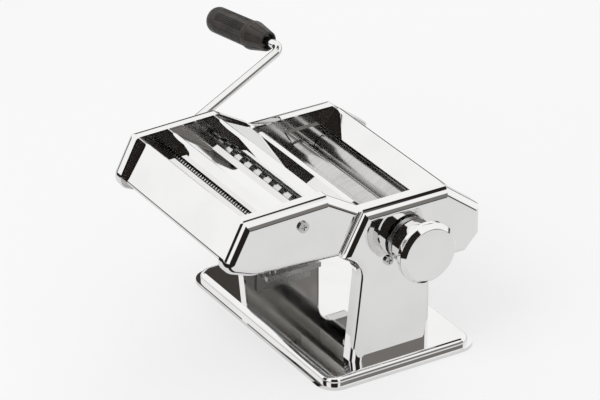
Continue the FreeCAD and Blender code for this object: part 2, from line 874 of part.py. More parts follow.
# A tooth of the front gear points at the rear roller, and a gap of the rear gear takes it
gear_pitch_radius = (rear_y - front_y) / 2
gear_tip = gear_pitch_radius + size("gear_addendum")
gear_root = gear_pitch_radius - size("gear_dedendum")
gear("front_roller_gear", count("gear_teeth"), gear_tip, gear_root, -gear_end, "Sizes.gear_width",
     front_y, roller_z, 0.0, size("journal_radius") + fit)
gear("rear_roller_gear", count("gear_teeth"), gear_tip, gear_root, -gear_end, "Sizes.gear_width",
     rear_y, roller_z, 0.5, size("socket_journal") + fit)

# Regulator: a snail cam on a short shaft pushes the lug of the block

CAM_STEP = 15
cam_points = []
cam_high = size("cam_low") + travel
for angle in range(0, 360, CAM_STEP):
    if angle <= size("cam_turn"):
        radius = size("cam_low") + travel * angle / size("cam_turn")
    elif angle <= size("cam_turn") + 2 * CAM_STEP:
        radius = cam_high
    elif angle >= 360 - CAM_STEP:
        radius = size("cam_low")
    else:
        fall_start = size("cam_turn") + 2 * CAM_STEP
        share = (angle - fall_start) / (360 - CAM_STEP - fall_start)
        radius = cam_high - travel * share
    turn = math.radians(-angle)
    cam_points.append((radius * math.cos(turn), radius * math.sin(turn)))
cam = prism("regulator_cam", polygon(cam_points) + [circle(0, 0, size("shaft_radius") + fit)], cam_start,
            "Sizes.cam_width")
place(cam, cam_start, front_y, roller_z)

nose_end = shell_outer + size("nose_length")
index_face = shell_outer + size("index_thick")
web_inner = index_face + play + size("web_depth")
web_outer = web_inner + size("web_thick")
washer_start = web_outer + size("spring_length")
drum_start = index_face + size("knob_travel_in") + 2 * play
drum_end = drum_start + size("drum_length")
cap_rim_start = drum_end + size("cap_bevel") / 2
cap_rim_end = cap_rim_start + size("cap_rim")
cap_face = cap_rim_end + size("cap_bevel")
shaft = size("shaft_radius")
bush_flange = cam_start + size("cam_width") + play

shaft_profile = sharp([(cam_start, 0), (cam_start, shaft), (washer_start, shaft), (washer_start, 0)])
turned("regulator_shaft", shaft_profile, front_y, roller_z)
flange_radius = size("nose_radius") + size("nose_flange")
turned("regulator_bush", sharp([
    (bush_flange, shaft + fit), (bush_flange, flange_radius), (shell_inside, flange_radius),
    (shell_inside, size("nose_radius")), (nose_end, size("nose_radius")), (nose_end, shaft + fit)]),
    front_y, roller_z)

index_curves = [circle(front_y, roller_z, size("index_radius")),
                circle(front_y, roller_z, size("nose_radius") + fit)]
for position in range(count("index_positions")):
    share = position / (count("index_positions") - 1)
    angle = math.radians(90 + size("cam_turn") * share)
    index_curves.append(circle(front_y + size("index_circle") * math.cos(angle),
                               roller_z + size("index_circle") * math.sin(angle), size("index_hole")))
prism("index_plate", index_curves, shell_outer, "Sizes.index_thick")

drum_inner = size("drum_radius") - size("drum_wall")
hub_start = web_inner - size("hub_length")
turned("knob_drum", sharp([
    (hub_start, shaft + fit), (hub_start, size("hub_radius")), (web_inner, size("hub_radius")),
    (web_inner, drum_inner), (drum_start, drum_inner), (drum_start, size("drum_radius")),
    (drum_end, size("drum_radius")), (drum_end, drum_inner), (web_outer, drum_inner),
    (web_outer, shaft + fit)]), front_y, roller_z)

# The cap's domed face is one arc of a large radius, tangent to the bevel's edge and flat in the middle
cap_hollow = drum_inner - size("cap_seat")
face_radius = size("cap_radius") - size("cap_bevel")
cap_top = cap_face + size("cap_dome")
inner_top = cap_top - size("cap_wall")
cap_edge = size("cap_edge")
turned("knob_cap", [
    (drum_end, cap_hollow, 0), (drum_end, size("drum_radius") + size("cap_back"), 0),
    (cap_rim_start, size("cap_radius"), cap_edge), (cap_rim_end, size("cap_radius"), cap_edge),
    (cap_face, face_radius, cap_edge), (cap_top, face_radius / 2, size("cap_crown")), (cap_top, 0, 0),
    (inner_top, 0, 0), (inner_top, cap_hollow / 2, cap_edge), (cap_rim_end, cap_hollow, cap_edge)],
    front_y, roller_z)
pin_tip = index_face + play
group("index_pin", [rod(pin_tip, front_y, roller_z + size("index_circle"), "Sizes.pin_radius",
                        "Sizes.web_depth")])

screw_top = washer_start + size("washer_thick") + size("screw_head_height")
turned("knob_retaining_screw", [
    (washer_start, 0, 0), (washer_start, size("washer_radius"), 0),
    (washer_start + size("washer_thick"), size("washer_radius"), 0),
    (washer_start + size("washer_thick"), size("retainer_head"), 0),
    (screw_top, size("retainer_head"), size("retainer_edge")), (screw_top, 0, 0)], front_y, roller_z)

wire = size("spring_wire")
spring_clear = size("spring_length") - 2 * wire - 2 * fit
helix = doc.addObject("Part::Helix", "SpringPath")
helix.Pitch = spring_clear / count("spring_turns")
helix.Height = spring_clear
helix.setExpression("Radius", "Sizes.spring_radius")
section = doc.addObject("Part::Circle", "SpringSection")
section.setExpression("Radius", "Sizes.spring_wire")
place(section, size("spring_radius"), 0, 0, FreeCAD.Rotation(X_AXIS, 90))
doc.recompute()
spring = finish(doc.addObject("Part::Sweep", "knob_spring"), "knob_spring")
spring.Sections = [section]
spring.Spine = (helix, ["Edge%d" % number for number in range(1, len(helix.Shape.Edges) + 1)])
spring.Solid = True
spring.Frenet = True
place(spring, web_outer + wire + fit, front_y, roller_z, FreeCAD.Rotation(Y_AXIS, 90))
print("spring: gap between turns", round(spring_clear / count("spring_turns") - 2 * wire, 2), "mm")

# Hopper: rear cover, front cover, end cheeks and the scrapers under the rollers

sheet_thick = size("sheet")
keeper_half = inner_half - size("slide_gap") * 2 - size("hook_thick") - size("hook_lip") - size("keeper_wall")
roller_top = roller_z + roller_radius
rear_sheet = [
    (size("rear_return_y"), size("rear_return_z")),
    (size("rear_cover_y"), size("rear_cover_z")),
    (size("hopper_ridge_y"), size("hopper_top") - size("hopper_ridge_drop")),
    (size("hopper_ridge_y") - size("hopper_ridge"), size("hopper_top")),
    (rear_y + size("hopper_rear_lap"), roller_top + size("hopper_rear_gap")),
]
prism("rear_cover", folded(rear_sheet, sheet_thick, size("cover_bend")), -inner_half, "2 * Sizes.inner_half")

front_top = head_top - size("front_cover_drop")
front_inset = -size("front_cover_inset")
front_sheet = [
    (front_y - size("hopper_front_lap"), roller_top - size("hopper_front_drop")),
    (size("hopper_front_y"), front_top),
    (front_edge(front_top, front_inset), front_top),
    (front_edge(size("front_cover_low"), front_inset), size("front_cover_low")),
    (size("front_return_y"), size("front_return_z")),
]
prism("front_cover", folded(front_sheet, sheet_thick, size("cover_bend")), -keeper_half,
      "2 * (Sizes.inner_half - 2 * Sizes.slide_gap - Sizes.hook_thick - Sizes.hook_lip - Sizes.keeper_wall)")

cheek_top = roller_top + size("cheek_rise")
cheek_outline = [
    (front_y - size("cheek_front_lap"), cheek_top),
    (front_y + travel, roller_z),
    (rear_y - roller_radius, roller_z),
    (rear_y - size("cheek_shoulder_lap"), cheek_top - size("cheek_shoulder")),
    (rear_y - size("cheek_rear_lap"), cheek_top),
]
cheeks = []
for start in (inner_half - size("cheek_thick"), -inner_half):
    cheek = prism("Cheek", polygon(cheek_outline), start, "Sizes.cheek_thick", grouped=True)
    clear_rear = roller_radius + size("cheek_gap")
    clear_front = clear_rear + travel / 2
    for y, radius in ((front_y + travel / 2, clear_front), (rear_y, clear_rear)):
        pocket(cheek, "YZ_Plane", [circle(y, roller_z, radius)], "Sizes.cheek_thick", True)
    cheeks.append(cheek)
group("hopper_cheeks", cheeks)

scraper_top = roller_z - roller_radius - size("scraper_gap")
scrapers = []
half_blade = size("scraper_thick") / 2
for y in (front_y + travel + size("scraper_set"), rear_y - size("scraper_set")):
    blade = rectangle(y - half_blade, scraper_top - size("scraper_height"), y + half_blade, scraper_top)
    scrapers.append(prism("Scraper", blade, -inner_half, "2 * Sizes.inner_half", grouped=True))
group("roller_scrapers", scrapers)

# Cutter unit: end plates, bearing plates and covers

cutter_half = inner_half - size("slide_gap")
cutter_outer = cutter_half + size("cutter_depth")
cutter_inside = cutter_outer - size("shell_wall")
cutter_gap = size("cutter_gap")
cutter_corners = [
    (size("cutter_front_low"), size("cutter_low_front"), size("cutter_chin")),
    (size("cutter_under_front"), size("cutter_under"), size("cutter_belly")),
    (front_edge(size("cutter_rear_low"), cutter_gap), size("cutter_rear_low"), corner),
    (front_edge(size("cutter_rear_high"), cutter_gap), size("cutter_rear_high"), corner),
    (size("cutter_rear_top"), size("cutter_top_rear"), corner),
    (size("cutter_front_top"), size("cutter_top_front"), corner),
]
centre_distance = size("disc_radius") + size("groove_radius") + size("mesh_gap")
cutter_z = size("cutter_z")
thin_front = size("thin_nip") - centre_distance / 2
thin_rear = size("thin_nip") + centre_distance / 2
wide_front = size("wide_nip") - centre_distance / 2
wide_rear = size("wide_nip") + centre_distance / 2
near_post = (size("near_post_y"), size("near_post_z"))
far_post = (size("far_post_y"), size("far_post_z"))
mouth_hole = size("cutter_journal") + play


def every_edge(box):
    return True


pressed_tray("cutter_knob_side_end_plate", cutter_corners, cutter_half, "cutter_depth", KNOB_SIDE,
             [near_post + (screw_hole,)], every_edge)
pressed_tray("cutter_crank_side_end_plate", cutter_corners, cutter_half, "cutter_depth", CRANK_SIDE,
             [far_post + (screw_hole,), (thin_front, cutter_z, mouth_hole),
              (wide_front, cutter_z, mouth_hole)], every_edge)

cutter_axes = [thin_front, thin_rear, wide_front, wide_rear]
cutter_bush_outer = size("cutter_journal") + fit + size("cutter_bush_wall")
cutter_ties = [(size("cutter_tie_middle_y"), size("cutter_tie_middle_z")),
               (size("cutter_tie_front_y"), size("cutter_tie_front_z"))]
cutter_plate_corners = inset(cutter_corners, size("shell_wall") + size("seat_gap"))
plate_outer = cutter_half + size("cutter_plate")
cutter_plates = []
for start in (cutter_half, -plate_outer):
    curves = rounded(cutter_plate_corners)
    curves += [circle(y, cutter_z, cutter_bush_outer + fit) for y in cutter_axes]
    curves += [circle(y, z, size("tie_radius") + fit) for y, z in cutter_ties]
    cutter_plates.append(prism("CutterPlate", curves, start, "Sizes.cutter_plate", grouped=True))
group("cutter_bearing_plates", cutter_plates)

cutter_length = "2 * (Sizes.inner_half - Sizes.slide_gap)"
disc_top = cutter_z + size("disc_radius")
cutter_sheets = [
    ("cutter_front_cover", [
        (size("thin_nip") - size("thin_slot_front"), disc_top + size("thin_edge_rise")),
        (size("front_panel_top_y"), size("front_panel_top_z")),
        (size("front_panel_low_y"), size("front_panel_low_z")),
        (size("front_panel_return_y"), size("front_panel_return_z"))]),
    ("cutter_middle_cover", [
        (size("wide_nip") - size("wide_slot_front"), disc_top + size("wide_edge_rise")),
        (size("middle_ridge_y"), size("middle_ridge_z")),
        (size("thin_nip") + size("thin_slot_rear"), disc_top + size("thin_guide_rise"))]),
    ("cutter_rear_cover", [
        (front_edge(size("rear_edge_z"), cutter_gap) - size("rear_edge_inset"), size("rear_edge_z")),
        (size("rear_ridge_y"), size("rear_ridge_z")),
        (size("wide_nip") + size("wide_slot_rear"), disc_top + size("wide_guide_rise"))]),
]
for label, points in cutter_sheets:
    prism(label, folded(points, sheet_thick, size("cover_bend")), -cutter_half, cutter_length)
cutter_tie_length = "2 * (Sizes.inner_half - Sizes.slide_gap + Sizes.cutter_plate + Sizes.nut_height)"
group("cutter_tie_rods", [rod(-plate_outer - size("nut_height"), y, z, "Sizes.tie_radius", cutter_tie_length)
                          for y, z in cutter_ties])
group("cutter_tie_nuts", nuts_for(cutter_ties, plate_outer))

cutter_post = "Sizes.cutter_depth - Sizes.cutter_plate - Sizes.shell_wall"
group("cutter_posts", [rod(plate_outer, *near_post, "Sizes.post_radius", cutter_post),
                       rod(-cutter_inside, *far_post, "Sizes.post_radius", cutter_post)])
end_screw_head = "Sizes.cutter_screw_head"
group("cutter_end_screws", [cross_head_screw(cutter_outer, *near_post, KNOB_SIDE, end_screw_head),
                            cross_head_screw(-cutter_outer, *far_post, CRANK_SIDE, end_screw_head)])

# Cutter rollers: grooved, in pairs whose discs run in each other's grooves

cutter_roller_half = cutter_half - play
journal_end = plate_outer + size("cutter_bush_stand") + size("journal_proud")
cutter_mouth = -cutter_outer - size("socket_proud")
cutter_socket_floor = cutter_mouth + size("socket_depth")
cutter_gear_start = plate_outer + size("cutter_bush_stand")
cutter_gear_end = cutter_gear_start + size("gear_width")


def grooved(pitch, disc, offset):
    """Profile of the discs and grooves from the knob end to the crank end, one disc each pitch."""
    points = [(cutter_roller_half, size("groove_radius"))]
    number = int(cutter_roller_half / pitch)
    for step_number in range(number, -number - 1, -1):
        middle = step_number * pitch + offset
        if abs(middle) + disc / 2 > cutter_roller_half:
            continue
        for x, radius in ((disc / 2, "groove_radius"), (disc / 2, "disc_radius"), (-disc / 2, "disc_radius"),
                          (-disc / 2, "groove_radius")):
            points.append((middle + x, size(radius)))
    points.append((-cutter_roller_half, size("groove_radius")))
    return points


def cutter_profile(pitch, disc, offset, crank_end):
    journal = size("cutter_journal")
    profile = [(journal_end, 0), (journal_end, journal), (cutter_roller_half, journal)]
    profile += grooved(pitch, disc, offset)
    profile += [(-cutter_roller_half, journal), (crank_end, journal)]
    return profile


cutter_gear_tip = centre_distance / 2 + size("cutter_gear_addendum")
cutter_gear_root = centre_distance / 2 - size("cutter_gear_dedendum")
pairs = [("thin", thin_front, thin_rear, size("thin_pitch"), size("thin_disc")),
         ("wide", wide_front, wide_rear, size("wide_pitch"), size("wide_disc"))]
for name, first_y, second_y, pitch, disc in pairs:
    profile = cutter_profile(pitch, disc, pitch / 4, cutter_mouth)
    profile += [(cutter_mouth, size("socket_radius")), (cutter_socket_floor, size("socket_radius")),
                (cutter_socket_floor, 0)]
    socket_roller(name + "_front_cutter", sharp(profile[::-1]), first_y, cutter_z, cutter_mouth)
    profile = cutter_profile(pitch, disc, -pitch / 4, -cutter_gear_end)
    turned(name + "_rear_cutter", sharp((profile + [(-cutter_gear_end, 0)])[::-1]), second_y, cutter_z)
    for place_name, y, phase in (("front", first_y, 0.0), ("rear", second_y, 0.5)):
        gear("%s_%s_cutter_gear" % (name, place_name), count("cutter_gear_teeth"), cutter_gear_tip,
             cutter_gear_root, -cutter_gear_end, "Sizes.gear_width", y, cutter_z, phase,
             size("cutter_journal") + fit)
    combs = []
    for y, offset in ((first_y, pitch / 4), (second_y, -pitch / 4)):
        finger = pitch - disc - 2 * size("comb_gap")
        low = cutter_z - size("disc_radius") - size("comb_gap") - size("comb_height")
        root = low + size("comb_height")
        tip = cutter_z - size("groove_radius") - size("comb_gap")
        outline = [(-cutter_half, low), (cutter_half, low), (cutter_half, root)]
        number = int(cutter_roller_half / pitch)
        for step_number in range(number - 1, -number, -1):
            middle = (step_number + 0.5) * pitch + offset
            outline += [(middle + finger / 2, root), (middle + finger / 2, tip),
                        (middle - finger / 2, tip), (middle - finger / 2, root)]
        outline.append((-cutter_half, root))
        comb = new_body("Comb", grouped=True)
        pad(comb, "XZ_Plane", polygon(outline), "Sizes.comb_thick")
        combs.append(place(comb, y=y + size("comb_thick") / 2))
    group(name + "_combs", combs)

cutter_bush_length = "Sizes.cutter_plate + Sizes.cutter_bush_stand - Sizes.end_play"
cutter_bushes = []
for y in cutter_axes:
    for start in (cutter_half, -plate_outer - size("cutter_bush_stand") + play):
        cutter_bushes.append(bush(start, y, cutter_z, "cutter_journal", "cutter_bush_wall",
                                  cutter_bush_length))
group("cutter_bushes", cutter_bushes)

# Hooks of the cutter unit and their keepers in the head, drawn across the lift-off direction

guide_turn = FreeCAD.Rotation(X_AXIS, -size("guide_tilt"))
hook_gap = size("slide_gap")
hook_outer = cutter_half
hook_inner = hook_outer - size("hook_thick")
lip_inner = hook_inner - size("hook_lip")
keeper_side = lip_inner - hook_gap
keeper_inner = keeper_side - size("keeper_wall")
keeper_floor = size("hook_low") - hook_gap - size("keeper_wall")


def along_guide(curves, start, length):
    """A bar of one section, drawn across the lift-off direction, that starts at start along it."""
    body = doc.addObject("PartDesign::Body", "GuideBar")
    pad(body, "XY_Plane", curves, length)
    lift = guide_turn.multVec(FreeCAD.Vector(0, 0, start))
    place(body, 0, size("guide_y") + lift.y, size("guide_z") + lift.z, guide_turn)
    return body


hooks = []
keepers = []
for side in (KNOB_SIDE, CRANK_SIDE):
    hook = [(side * hook_outer, -size("hook_reach")), (side * hook_outer, size("hook_depth")),
            (side * lip_inner, size("hook_depth")), (side * lip_inner, size("hook_grip")),
            (side * hook_inner, size("hook_grip")), (side * hook_inner, -size("hook_reach"))]
    hooks.append(along_guide(polygon(hook), size("hook_low"), "Sizes.hook_high - Sizes.hook_low"))
    back = size("hook_depth") + hook_gap
    lip_front = size("hook_grip") - hook_gap - size("keeper_lip")
    keeper = [(side * inner_half, back), (side * inner_half, back + size("keeper_wall")),
              (side * keeper_inner, back + size("keeper_wall")), (side * keeper_inner, size("keeper_front")),
              (side * keeper_side, size("keeper_front")), (side * keeper_side, lip_front),
              (side * (hook_inner - hook_gap), lip_front),
              (side * (hook_inner - hook_gap), size("hook_grip") - hook_gap),
              (side * keeper_side, size("hook_grip") - hook_gap), (side * keeper_side, back)]
    channel = along_guide(polygon(keeper), keeper_floor + size("keeper_wall"),
                          "Sizes.keeper_high - Sizes.hook_low + Sizes.slide_gap")
    floor_corners = [(side * inner_half, lip_front), (side * inner_half, back + size("keeper_wall")),
                     (side * keeper_inner, back + size("keeper_wall")), (side * keeper_inner, lip_front)]
    floor = along_guide(polygon(floor_corners), keeper_floor, "Sizes.keeper_wall")
    keepers.append(joined([channel, floor]))
group("cutter_hooks", hooks)
group("cutter_keepers", keepers)

# Crank: a bent rod whose plain end goes into a socket, with a cross pin, and a turning grip

crank_turn = FreeCAD.Rotation(X_AXIS, size("crank_rise") - 90)
lean = math.radians(size("crank_lean"))
crank_corner = cutter_mouth - size("crank_stand_off")
insert_end = cutter_mouth + size("crank_insert")
arm = size("crank_arm")
arm_end = (crank_corner - arm * math.sin(lean), arm * math.cos(lean))
grip_lean = math.radians(size("grip_lean"))
grip_way = (-math.cos(grip_lean), -math.sin(grip_lean))
stub = size("grip_stand_off") + size("grip_length") - size("grip_end_wall")
stub_end = (arm_end[0] + stub * grip_way[0], arm_end[1] + stub * grip_way[1])


def bent_path(points, bend):
    """Open path through the points with each inner corner rounded by bend."""
    corners = [points[0] + (0,)] + [point + (bend,) for point in points[1:-1]] + [points[-1] + (0,)]
    curves = rounded(corners)
    closing = len(corners) - 1
    return curves[:closing] + curves[closing + 1:]


crank_bar = doc.addObject("PartDesign::Body", "CrankBar")
path = sketch_on(crank_bar, "XZ_Plane", bent_path([(insert_end, 0), (crank_corner, 0), arm_end, stub_end],
                                                  size("crank_bend")))
bar_section = sketch_on(crank_bar, "YZ_Plane", [circle(0, 0, size("rod_radius"))])
bar_section.AttachmentOffset = FreeCAD.Placement(FreeCAD.Vector(0, 0, insert_end), FreeCAD.Rotation())
pipe = crank_bar.newObject("PartDesign::AdditivePipe", "Pipe")
pipe.Profile = bar_section
pipe.Spine = (path, [])
crank_bar.Tip = pipe
doc.recompute()
place(crank_bar, 0, wide_front, cutter_z, crank_turn)


def cross_pin(radius):
    pin = doc.addObject("Part::Cylinder", "CrossPin")
    pin.setExpression("Radius", radius)
    pin.setExpression("Height", "2 * Sizes.drive_pin_half")
    return place(pin, cutter_mouth + size("slot_depth") / 2, wide_front, cutter_z - size("drive_pin_half"))


finish(bored(crank_bar, cross_pin("Sizes.drive_pin_radius + Sizes.fit_gap")), "crank_rod")
group("crank_drive_pin", [cross_pin("Sizes.drive_pin_radius")])

crank_axis = FreeCAD.Vector(0, wide_front, cutter_z)
grip_axis = crank_turn.multVec(FreeCAD.Vector(grip_way[0], 0, grip_way[1]))
grip_start = crank_axis + crank_turn.multVec(FreeCAD.Vector(arm_end[0], 0, arm_end[1]))
grip_start = grip_start + grip_axis * size("grip_stand_off")
grip_place = FreeCAD.Placement(grip_start, FreeCAD.Rotation(X_AXIS, grip_axis))
grip_length = size("grip_length")
grip_bore = size("rod_radius") + fit
bore_end = grip_length - size("grip_end_wall") + play
collar_start = size("grip_collar_at")
collar_end = collar_start + size("grip_collar_width")
grip_edge = size("grip_edge")
recess = size("grip_recess")
recess_end = size("grip_recess_depth")
near_radius = size("grip_near")
collar_radius = size("grip_collar")
grip_blank = turned("grip_blank", [
    (recess_end, grip_bore, 0), (recess_end, recess, 0), (0, recess, 0), (0, near_radius, grip_edge),
    (collar_start, collar_radius, grip_edge), (collar_end, collar_radius, grip_edge / 2),
    (collar_end + grip_edge, size("grip_body"), 0),
    (grip_length, size("grip_body") - size("grip_taper"), size("grip_end_round")),
    (grip_length, 0, 0), (bore_end, 0, 0), (bore_end, grip_bore, 0)], grouped=True)
grip_blank.Placement = grip_place


def flute(angle, start, out, slope, length):
    """A cutter for one straight flute that starts at (start, out) beside the axis and rises by slope."""
    around = FreeCAD.Rotation(X_AXIS, angle)
    cutter = rod(0, 0, 0, "Sizes.flute_radius", length)
    way = around.multiply(FreeCAD.Rotation(Y_AXIS, 90 - slope))
    cutter.Placement = grip_place.multiply(
        FreeCAD.Placement(around.multVec(FreeCAD.Vector(start, 0, out)), way))
    return cutter


cone_slope = math.degrees(math.atan2(collar_radius - near_radius, collar_start))
cone_end = size("cone_flute_end")
cone_out = near_radius + cone_end * math.tan(math.radians(cone_slope)) + size("flute_offset")
body_out = size("grip_body") + size("flute_offset")
flutes = []
for group_number in range(count("flute_groups")):
    middle = size("flute_turn") + group_number * 360 / count("flute_groups")
    for number in range(count("flutes_in_group")):
        aside = (number - (count("flutes_in_group") - 1) / 2) * size("flute_step")
        flutes.append(flute(middle + aside, collar_start + size("flute_start"), body_out, 0,
                            "Sizes.grip_length - Sizes.grip_collar_at - Sizes.flute_start"
                            " - Sizes.flute_tail"))
    for side in (-1, 1):
        flutes.append(flute(middle + side * size("cone_flute_half"), cone_end, cone_out, cone_slope,
                            "Sizes.grip_collar_at - 2 * Sizes.cone_flute_end"))
finish(bored(grip_blank, joined(flutes)), "crank_grip")

ring_end = recess_end - play
ring_start = ring_end - size("ring_thick")
ring_outer = recess - size("ring_step")
ring = turned("grip_ring", sharp([(ring_start, grip_bore), (ring_start, ring_outer), (ring_end, ring_outer),
                                  (ring_end, grip_bore)]))
ring.Placement = grip_place

# Check every object, then write each finished piece

doc.recompute()
for item in doc.Objects:
    if "Invalid" in item.State or "Error" in item.State:
        raise ValueError(item.Label + " is not valid")
os.makedirs("parts", exist_ok=True)
for piece in finished:
    if piece.Shape.isNull() or not piece.Shape.isValid():
        raise ValueError(piece.Label + " has no valid shape")
    piece.Shape.exportStep("parts/" + piece.Label + ".step")
print(len(finished), "pieces written")
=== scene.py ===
import json
import math

import bpy
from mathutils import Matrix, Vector


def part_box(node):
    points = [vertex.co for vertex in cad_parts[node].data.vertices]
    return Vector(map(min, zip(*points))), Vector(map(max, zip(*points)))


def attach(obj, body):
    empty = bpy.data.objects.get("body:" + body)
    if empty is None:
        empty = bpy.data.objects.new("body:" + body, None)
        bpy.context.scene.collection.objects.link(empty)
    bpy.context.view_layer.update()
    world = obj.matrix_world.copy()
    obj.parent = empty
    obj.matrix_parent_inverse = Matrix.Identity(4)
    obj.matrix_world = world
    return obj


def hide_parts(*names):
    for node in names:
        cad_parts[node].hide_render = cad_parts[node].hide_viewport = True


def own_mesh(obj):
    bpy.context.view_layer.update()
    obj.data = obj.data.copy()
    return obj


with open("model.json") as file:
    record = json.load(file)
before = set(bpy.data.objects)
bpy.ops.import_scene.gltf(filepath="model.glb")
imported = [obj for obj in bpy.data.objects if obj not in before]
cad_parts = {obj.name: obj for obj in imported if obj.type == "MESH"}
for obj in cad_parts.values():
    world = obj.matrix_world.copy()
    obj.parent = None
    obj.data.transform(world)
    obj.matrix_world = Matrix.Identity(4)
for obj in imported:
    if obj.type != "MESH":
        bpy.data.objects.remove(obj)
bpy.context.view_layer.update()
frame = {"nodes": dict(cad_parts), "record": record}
bpy.ops.object.select_all(action="DESELECT")


# Base tray: one pressing of thin sheet steel, plated with chrome and polished to a mirror.
# Its edge is rolled over and runs out to a flat lip that stands on the table. Wiping has left
# faint smears in the mirror, and the sheet is not quite flat.

SMEAR_SCALE = 26.0
SMEAR_DETAIL = 5.0
SMEAR_RANGE = (0.42, 0.72)
HAIR_SCALE = 60.0
HAIR_DETAIL = 3.0
HAIR_STRETCH = (1.0, 40.0, 40.0)
HAIR_RANGE = (0.62, 0.8)
HAIR_SHARE = 0.6
WAVE_SCALE = 22.0
WAVE_DETAIL = 1.0
WAVE_DEPTH = 0.00004
CHROME_BRIGHT = (0.89, 0.885, 0.88)


def new_finish(name):
    """Empty node group for a metal's finish, and the place on the piece that its marks follow."""
    finish = bpy.data.node_groups.new(name, "ShaderNodeTree")
    for label in ("Smooth", "Rough"):
        finish.interface.new_socket(label, in_out="INPUT", socket_type="NodeSocketFloat")
    for label in ("Dull", "Roughness"):
        finish.interface.new_socket(label, in_out="OUTPUT", socket_type="NodeSocketFloat")
    finish.interface.new_socket("Normal", in_out="OUTPUT", socket_type="NodeSocketVector")
    return finish, finish.nodes.new("ShaderNodeTexCoord").outputs["Object"]


def noise(tree, place, scale, detail, stretch=(1.0, 1.0, 1.0)):
    """Noise in the piece's own metres, stretched along its axes, from 0 to 1."""
    mapping = tree.nodes.new("ShaderNodeMapping")
    mapping.inputs["Scale"].default_value = stretch
    tree.links.new(place, mapping.inputs["Vector"])
    texture = tree.nodes.new("ShaderNodeTexNoise")
    texture.inputs["Scale"].default_value = scale
    texture.inputs["Detail"].default_value = detail
    tree.links.new(mapping.outputs["Vector"], texture.inputs["Vector"])
    return texture.outputs["Fac"]


def spread(tree, value, low, high, to_low=0.0, to_high=1.0):
    """Value from low to high, spread smoothly over to_low to to_high; the ends may be sockets."""
    remap = tree.nodes.new("ShaderNodeMapRange")
    remap.interpolation_type = "SMOOTHSTEP"
    tree.links.new(value, remap.inputs["Value"])
    for label, end in (("From Min", low), ("From Max", high), ("To Min", to_low), ("To Max", to_high)):
        if isinstance(end, (int, float)):
            remap.inputs[label].default_value = end
        else:
            tree.links.new(end, remap.inputs[label])
    return remap.outputs["Result"]


def work_out(tree, operation, first, second=0.0):
    """One sum of one or two sockets or numbers."""
    node = tree.nodes.new("ShaderNodeMath")
    node.operation = operation
    for socket, value in zip(node.inputs, (first, second)):
        if isinstance(value, (int, float)):
            socket.default_value = value
        else:
            tree.links.new(value, socket)
    return node.outputs["Value"]


def raised(tree, height, depth):
    """Normal of a surface whose height runs over depth metres."""
    bump = tree.nodes.new("ShaderNodeBump")
    bump.inputs["Strength"].default_value = 1.0
    bump.inputs["Distance"].default_value = depth
    tree.links.new(height, bump.inputs["Height"])
    return bump.outputs["Normal"]


def close_finish(finish, dull, worn, height, depth):
    """Gives out a finish: where its colour is dull, how rough it is where worn, and its relief."""
    ends = finish.nodes.new("NodeGroupInput").outputs
    results = finish.nodes.new("NodeGroupOutput").inputs
    finish.links.new(dull, results["Dull"])
    finish.links.new(spread(finish, worn, 0.0, 1.0, ends["Smooth"], ends["Rough"]), results["Roughness"])
    finish.links.new(raised(finish, height, depth), results["Normal"])


mirror_polish, polish_place = new_finish("mirror_polish")
smear = spread(mirror_polish, noise(mirror_polish, polish_place, SMEAR_SCALE, SMEAR_DETAIL), *SMEAR_RANGE)
hair_noise = noise(mirror_polish, polish_place, HAIR_SCALE, HAIR_DETAIL, HAIR_STRETCH)
hair = work_out(mirror_polish, "MULTIPLY", spread(mirror_polish, hair_noise, *HAIR_RANGE), HAIR_SHARE)
wiped = work_out(mirror_polish, "MAXIMUM", smear, hair)
wave = noise(mirror_polish, polish_place, WAVE_SCALE, WAVE_DETAIL)
close_finish(mirror_polish, smear, wiped, wave, WAVE_DEPTH)


def new_material(name):
    """Material with nodes, its tree and its one shader."""
    material = bpy.data.materials.new(name)
    material.use_nodes = True
    return material, material.node_tree, material.node_tree.nodes["Principled BSDF"]


def tinted(tree, mask, low, high):
    """Colour that goes from low to high with the mask; either may be a colour or a socket."""
    mix = tree.nodes.new("ShaderNodeMix")
    mix.data_type = "RGBA"
    tree.links.new(mask, mix.inputs["Factor"])
    for label, colour in (("A", low), ("B", high)):
        if isinstance(colour, tuple):
            mix.inputs[label].default_value = (*colour, 1.0)
        else:
            tree.links.new(colour, mix.inputs[label])
    return mix.outputs["Result"]


def metal(name, finish, bright, dull, smooth, rough):
    """Metal with one of the finishes, from its bright and smooth parts to its dull and rough ones."""
    material, tree, shader = new_material(name)
    surface = tree.nodes.new("ShaderNodeGroup")
    surface.node_tree = finish
    surface.inputs["Smooth"].default_value = smooth
    surface.inputs["Rough"].default_value = rough
    shader.inputs["Metallic"].default_value = 1.0
    tree.links.new(tinted(tree, surface.outputs["Dull"], bright, dull), shader.inputs["Base Color"])
    tree.links.new(surface.outputs["Roughness"], shader.inputs["Roughness"])
    tree.links.new(surface.outputs["Normal"], shader.inputs["Normal"])
    return material


def dress(material, *nodes):
    """Puts the material on these pieces of the frame."""
    for node in nodes:
        piece = frame["nodes"][node]
        piece.data.materials.clear()
        piece.data.materials.append(material)


mirror_chrome = metal("mirror_chrome", mirror_polish, bright=CHROME_BRIGHT, dull=(0.86, 0.855, 0.85),
                      smooth=0.02, rough=0.045)
dress(mirror_chrome, "base_plate")


# Feet: two folded brackets of zinc-plated steel that stand on the tray inside the legs, each held
# down by cross-head screws. The zinc is dull, with the pale mottle of its crystals.

